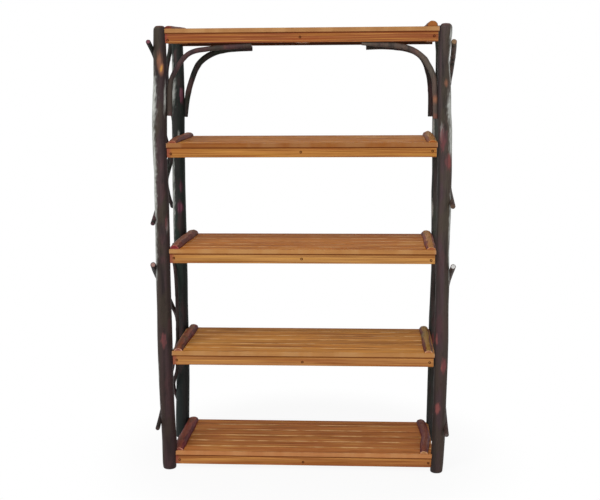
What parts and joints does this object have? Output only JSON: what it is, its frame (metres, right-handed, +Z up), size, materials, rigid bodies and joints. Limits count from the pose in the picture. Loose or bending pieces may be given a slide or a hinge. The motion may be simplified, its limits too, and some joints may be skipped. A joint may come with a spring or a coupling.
{
  "type": "shelf stand",
  "caption": "Freestanding rustic shelf stand: bark-on log posts carry slatted oak shelves with split-log end rails, bent stick brackets under the top and bowed twigs crossing the sides.",
  "frame": {"origin": "on the floor, in the middle of the stand's footprint", "axes": "+X to the viewer's right along the shelves, +Y to the back, +Z up"},
  "size_m": [1.2402, 0.5091, 1.84],
  "materials": {
    "bark_log": "varnished dark bark",
    "split_log": "varnished peeling bark",
    "oak": "honey satin varnish",
    "twig_bark": "varnished thin bark"
  },
  "bodies": {
    "root": {"post_front_left": "bark_log", "post_front_right": "bark_log", "post_back_left": "bark_log", "post_back_right": "bark_log", "shelf_1_slats": "oak", "shelf_1_apron_front": "oak", "shelf_1_apron_back": "oak", "shelf_1_cleats": "oak", "shelf_1_rail_left": "split_log", "shelf_1_rail_right": "split_log", "shelf_2_slats": "oak", "shelf_2_apron_front": "oak", "shelf_2_apron_back": "oak", "shelf_2_cleats": "oak", "shelf_2_rail_left": "split_log", "shelf_2_rail_right": "split_log", "shelf_3_slats": "oak", "shelf_3_apron_front": "oak", "shelf_3_apron_back": "oak", "shelf_3_cleats": "oak", "shelf_3_rail_left": "split_log", "shelf_3_rail_right": "split_log", "shelf_4_slats": "oak", "shelf_4_apron_front": "oak", "shelf_4_apron_back": "oak", "shelf_4_cleats": "oak", "shelf_4_rail_left": "split_log", "shelf_4_rail_right": "split_log", "shelf_5_slats": "oak", "shelf_5_apron_front": "oak", "shelf_5_apron_back": "oak", "shelf_5_cleats": "oak", "shelf_5_rail_left": "split_log", "shelf_5_rail_right": "split_log", "bracket_front_left": "twig_bark", "bracket_front_right": "twig_bark", "bracket_back_left": "twig_bark", "bracket_back_right": "twig_bark", "twig_left_upper_front": "twig_bark", "twig_left_upper_back": "twig_bark", "twig_left_lower_front": "twig_bark", "twig_left_lower_back": "twig_bark", "twig_right_upper_front": "twig_bark", "twig_right_upper_back": "twig_bark", "twig_right_lower_front": "twig_bark", "twig_right_lower_back": "twig_bark"}
  },
  "joints": []
}
